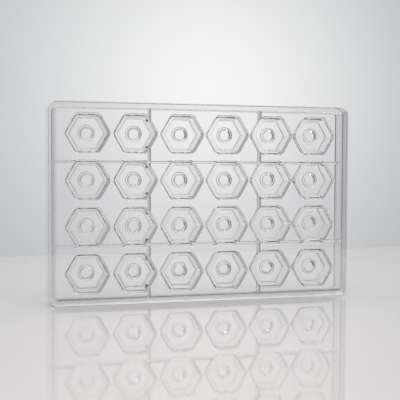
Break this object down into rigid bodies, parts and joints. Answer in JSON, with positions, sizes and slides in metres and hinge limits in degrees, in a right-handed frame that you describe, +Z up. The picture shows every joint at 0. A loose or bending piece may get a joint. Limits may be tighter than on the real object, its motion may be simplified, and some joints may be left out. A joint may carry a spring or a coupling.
{
  "type": "chocolate mould",
  "caption": "Clear polycarbonate tray mould with a grid of tapered hexagonal cavities, each with a round dimple in its floor, inside a deep skirt that stacks.",
  "frame": {"origin": "middle of the footprint, on the surface that the mould's long side stands on", "axes": "+X along the length, +Z up the width, the cavities open towards -Y"},
  "size_m": [0.275, 0.024, 0.175],
  "materials": {
    "clear_polycarbonate": "clear, glossy, injection moulded polycarbonate"
  },
  "bodies": {
    "root": {"mould": "clear_polycarbonate"}
  },
  "joints": []
}
